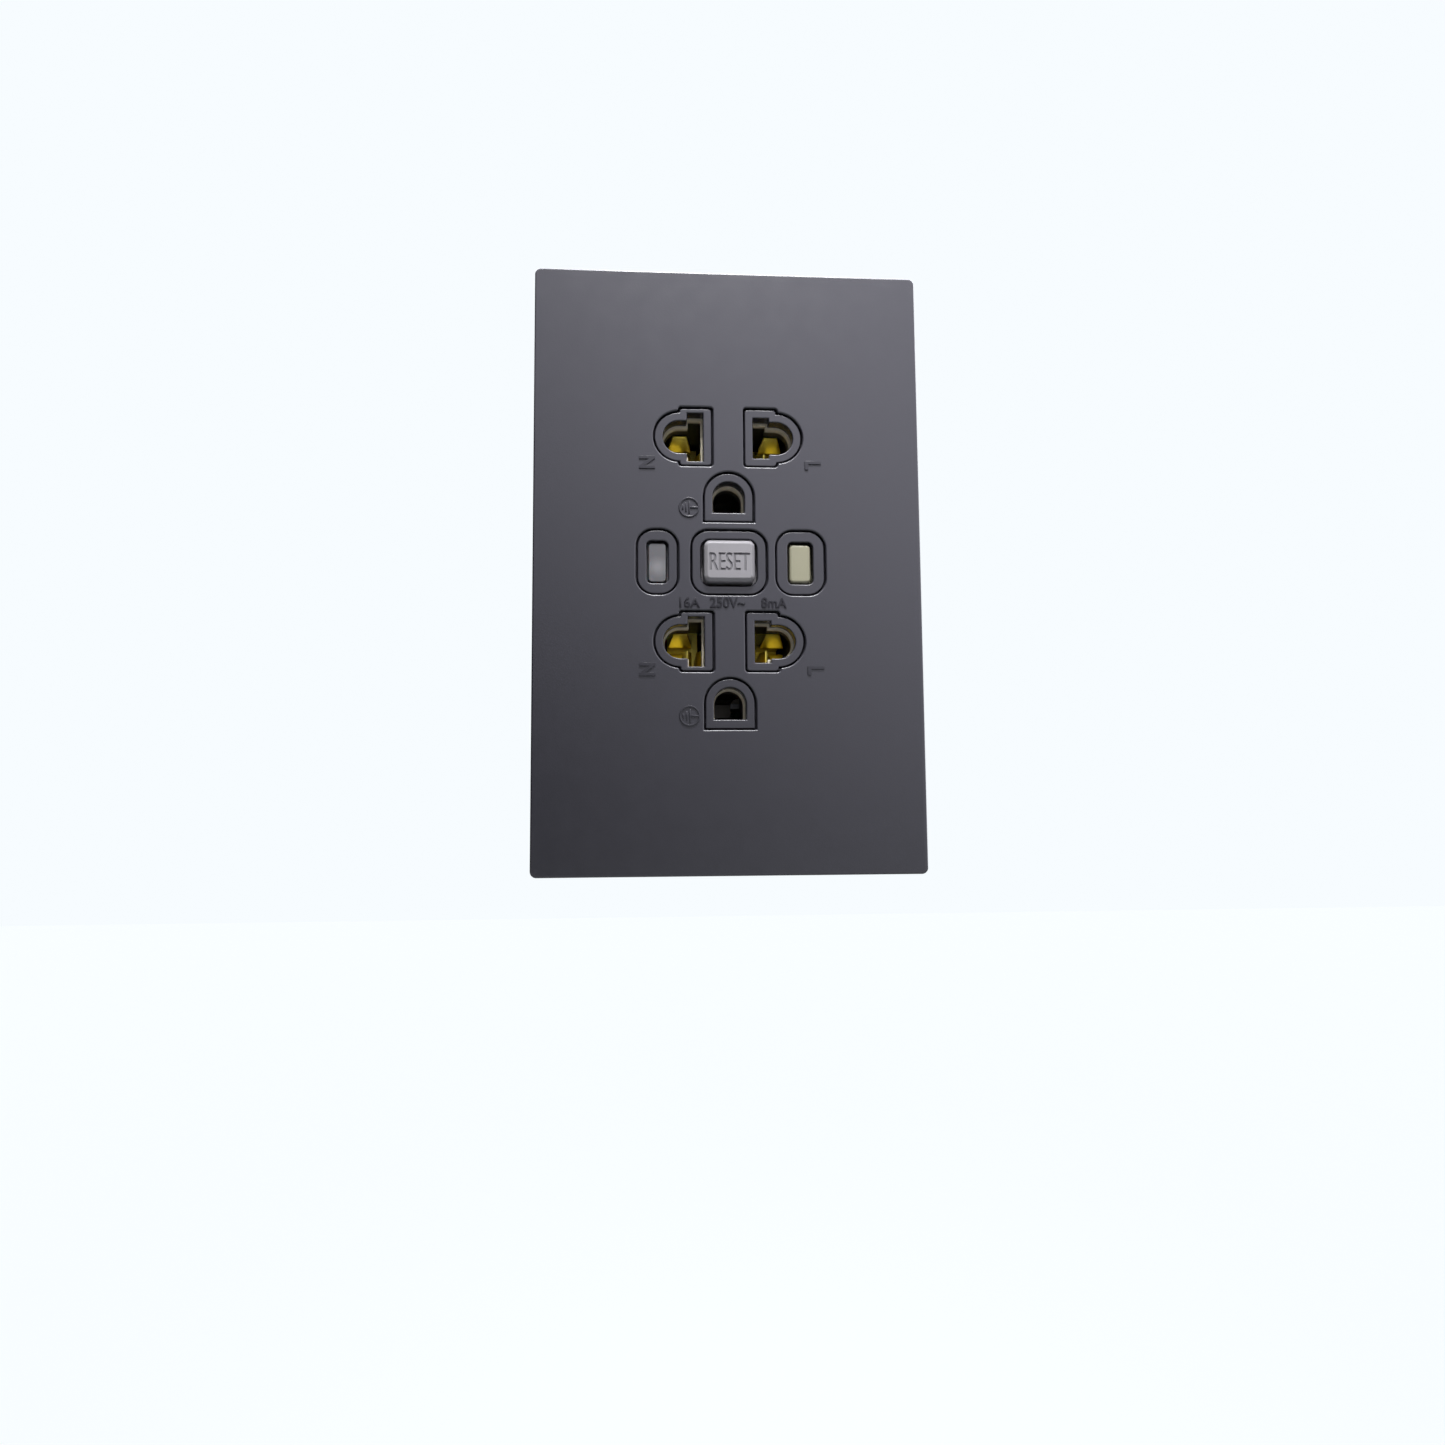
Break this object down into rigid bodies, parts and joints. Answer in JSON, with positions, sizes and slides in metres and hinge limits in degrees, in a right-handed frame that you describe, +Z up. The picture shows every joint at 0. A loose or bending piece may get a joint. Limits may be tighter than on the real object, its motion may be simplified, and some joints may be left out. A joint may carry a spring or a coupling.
{
  "type": "rcd wall socket",
  "caption": "Duplex wall socket for flat and round pins with residual current protection, reset button, test key and indicator behind a charcoal cover plate.",
  "frame": {"origin": "middle of the two box screws, in the plane of the wall", "axes": "+Z up along the plate's height, -Y out of the plate's face into the room, +Y into the wall box, +X to the right seen from the front"},
  "size_m": [0.075, 0.0394, 0.118],
  "materials": {
    "plate": "satin charcoal, very fine spark texture",
    "housing_front": "satin charcoal",
    "button_grey": "satin mid grey",
    "button_ivory": "satin ivory",
    "lens_grey": "smoked translucent",
    "tray_beige": "moulded grey-beige",
    "housing_black": "moulded black",
    "frame_white": "moulded off-white",
    "galvanised": "zinc-plated steel",
    "brass": "rolled brass",
    "brass_screw": "turned brass",
    "silver_screw": "nickel-plated",
    "green_screw": "green passivated",
    "silver": "silver contact alloy",
    "copper": "enamelled copper winding",
    "spring_steel": "spring wire",
    "board_green": "solder-resist green",
    "component_red": "dipped red-brown",
    "component_blue": "dipped blue",
    "component_black": "moulded black",
    "component_tan": "tan ceramic",
    "lamp_green": "tinted epoxy",
    "nylon": "natural nylon"
  },
  "bodies": {
    "base": {"arm_posts": "brass", "capacitor": "component_red", "carrier_frame": "frame_white", "circuit_board": "board_green", "clamp_plates": "galvanised", "contact_tray": "tray_beige", "control_chip": "component_black", "cover_plate": "plate", "diodes": "component_black", "earth_contact_lower": "brass", "earth_contact_upper": "brass", "earth_screw": "green_screw", "fixed_contacts": "silver", "frame_screws": "galvanised", "front_housing": "housing_front", "housing_screws": "galvanised", "indicator_led": "lamp_green", "indicator_lens": "lens_grey", "line_contact_strip": "brass", "line_supply_terminal": "brass", "line_terminal_screws": "brass_screw", "mounting_strap": "galvanised", "neutral_contact_strip": "brass", "neutral_sense_coil": "copper", "neutral_supply_terminal": "brass", "neutral_terminal_screws": "silver_screw", "plunger_spring": "spring_steel", "primary_conductors": "copper", "rear_housing": "housing_black", "reset_spring": "spring_steel", "resistors": "component_tan", "sense_coil": "copper", "solenoid_bobbin": "nylon", "solenoid_coil": "copper", "solenoid_yoke": "galvanised", "test_contacts": "brass", "test_spring": "spring_steel", "thyristor": "component_black", "transformer_cup": "component_black", "varistor": "component_blue"},
    "reset": {"reset_button": "button_grey", "reset_pin": "spring_steel"},
    "latch_block": {"latch_block": "nylon"},
    "latch_plate": {"latch_plate": "spring_steel"},
    "plunger": {"plunger": "spring_steel"},
    "line_arm": {"line_contact_arm": "copper", "line_moving_contact": "silver"},
    "neutral_arm": {"neutral_contact_arm": "copper", "neutral_moving_contact": "silver"},
    "test_key": {"test_button": "button_ivory"}
  },
  "joints": [
    {"name": "reset_press", "type": "slide", "parent": "base", "child": "reset", "axis": [0, 1, 0], "range_m": [0, 0.0015], "stiffness_N_per_m": 300, "springref_m": -0.004, "deforming": ["reset_spring"]},
    {"name": "plunger_stroke", "type": "slide", "parent": "base", "child": "plunger", "axis": [0, 0, 1], "range_m": [0, 0.0015], "stiffness_N_per_m": 80, "springref_m": -0.002, "deforming": ["plunger_spring"]},
    {"name": "block_release", "type": "slide", "parent": "reset", "child": "latch_block", "axis": [0, 1, 0], "range_m": [0, 0.0015]},
    {"name": "latch_shift", "type": "slide", "parent": "latch_block", "child": "latch_plate", "axis": [0, 0, 1], "range_m": [0, 0.0015]},
    {"name": "line_arm_swing", "type": "hinge", "parent": "base", "child": "line_arm", "pos_m": [0.009, 0.01565, 0.0132], "axis": [1, 0, 0], "range_deg": [0, 5]},
    {"name": "neutral_arm_swing", "type": "hinge", "parent": "base", "child": "neutral_arm", "pos_m": [-0.009, 0.01565, 0.0132], "axis": [1, 0, 0], "range_deg": [0, 5]},
    {"name": "test_press", "type": "slide", "parent": "base", "child": "test_key", "axis": [0, 1, 0], "range_m": [0, 0.001], "stiffness_N_per_m": 200, "springref_m": -0.003, "deforming": ["test_spring"]}
  ],
  "couplings": [
    {"joint": "block_release", "follows": "plunger_stroke", "ratio": 1},
    {"joint": "latch_shift", "follows": "plunger_stroke", "ratio": 1},
    {"joint": "line_arm_swing", "follows": "plunger_stroke", "rad_per_m": 58.178},
    {"joint": "neutral_arm_swing", "follows": "plunger_stroke", "rad_per_m": 58.178}
  ]
}
